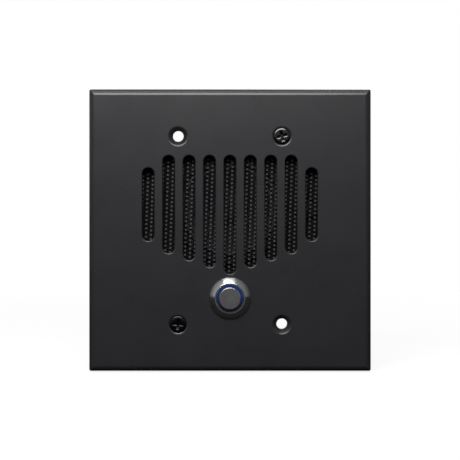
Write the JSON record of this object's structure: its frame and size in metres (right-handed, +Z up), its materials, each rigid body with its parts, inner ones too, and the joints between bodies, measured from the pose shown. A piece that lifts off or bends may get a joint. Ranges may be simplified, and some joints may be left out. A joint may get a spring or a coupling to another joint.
{
  "type": "door intercom speaker",
  "caption": "Square flush door station: slotted black plate with a speaker, a microphone and one lit push switch, for a two-gang wall box.",
  "frame": {"origin": "centre of the square rim on the plate's back, which lies on the wall", "axes": "+X to the right of someone who faces the plate, +Y into the wall, +Z up"},
  "size_m": [0.1252, 0.0438, 0.1252],
  "materials": {
    "black_powder_coat": "satin black powder coat on cast aluminium",
    "black_mesh": "black lacquer on expanded steel",
    "black_oxide": "black oxide on steel",
    "red_fibre": "vulcanised fibre",
    "stainless": "turned stainless steel",
    "lit_ring": "translucent light ring, blue light behind it",
    "board_green": "green solder resist on glass-epoxy",
    "light_chip": "moulded light chip",
    "tinned_brass": "tin-plated brass",
    "switch_black": "black moulded plastic",
    "spring_steel": "drawn spring steel wire",
    "nickel_brass": "nickel-plated brass",
    "black_rubber": "moulded rubber",
    "grey_foam": "closed-cell foam",
    "black_zinc_steel": "pressed steel, black zinc plated",
    "zinc_steel": "zinc-plated pressed steel",
    "ferrite": "pressed ferrite",
    "cone_paper": "pressed black paper pulp",
    "surround_cloth": "doped cloth",
    "spider_cloth": "resin-dipped cloth",
    "former_film": "polyimide film",
    "copper_wire": "enamelled copper wire",
    "tag_fibre": "phenolic paper board",
    "capsule_aluminium": "drawn aluminium can",
    "chip_black": "moulded epoxy",
    "can_sleeve": "shrunk plastic sleeve",
    "resistor_tan": "lacquered ceramic",
    "trimmer_blue": "moulded thermoplastic",
    "rotor_white": "moulded thermoplastic",
    "terminal_green": "moulded polyamide",
    "housing_black": "textured black plastic",
    "lead_sleeve": "sleeved stranded wire"
  },
  "bodies": {
    "station": {"faceplate": "black_powder_coat", "sound_screen": "black_mesh", "mounting_screws": "black_oxide", "screw_retainers": "red_fibre", "switch_body": "stainless", "bezel_seal": "black_rubber", "light_ring": "lit_ring", "light_board": "board_green", "light_chips": "light_chip", "light_pins": "tinned_brass", "return_spring": "spring_steel", "contact_tabs": "tinned_brass", "switch_base": "switch_black", "lock_washer": "nickel_brass", "switch_nut": "nickel_brass", "speaker_gasket": "grey_foam", "speaker_frame": "zinc_steel", "speaker_surround": "surround_cloth", "speaker_spider": "spider_cloth", "top_plate": "zinc_steel", "ring_magnet": "ferrite", "back_plate": "zinc_steel", "tag_board": "tag_fibre", "speaker_tags": "tinned_brass", "microphone_boot": "black_rubber", "microphone_capsule": "capsule_aluminium", "speaker_bracket": "black_zinc_steel", "front_standoffs": "nickel_brass", "rear_standoffs": "nickel_brass", "circuit_board": "board_green", "amplifier_chip": "chip_black", "capacitors": "can_sleeve", "resistors": "resistor_tan", "volume_trimmer": "trimmer_blue", "terminal_block": "terminal_green", "terminal_screws": "zinc_steel", "wire_clamps": "tinned_brass", "housing_seal": "black_rubber", "rear_housing": "housing_black", "housing_screws": "zinc_steel", "lead_grommet": "black_rubber", "switch_leads": "lead_sleeve", "speaker_leads": "lead_sleeve", "microphone_leads": "lead_sleeve"},
    "button": {"button_cap": "stainless", "button_plunger": "switch_black", "retaining_clip": "spring_steel", "moving_contact": "tinned_brass"},
    "cone": {"speaker_cone": "cone_paper", "dust_cap": "cone_paper", "coil_former": "former_film", "coil_winding": "copper_wire"},
    "volume_rotor": {"trimmer_rotor": "rotor_white"}
  },
  "joints": [
    {"name": "button_press", "type": "slide", "parent": "station", "child": "button", "axis": [0, 1, 0], "range_m": [0, 0.0022], "stiffness_N_per_m": 900, "springref_m": -0.0025, "deforming": ["return_spring"]},
    {"name": "cone_travel", "type": "slide", "parent": "station", "child": "cone", "axis": [0, 1, 0], "range_m": [-0.0006, 0.0006], "stiffness_N_per_m": 1500, "deforming": ["speaker_surround", "speaker_spider"]},
    {"name": "volume_turn", "type": "hinge", "parent": "station", "child": "volume_rotor", "pos_m": [-0.024, 0.0268, -0.0085], "axis": [0, 1, 0], "range_deg": [-135, 135]}
  ]
}
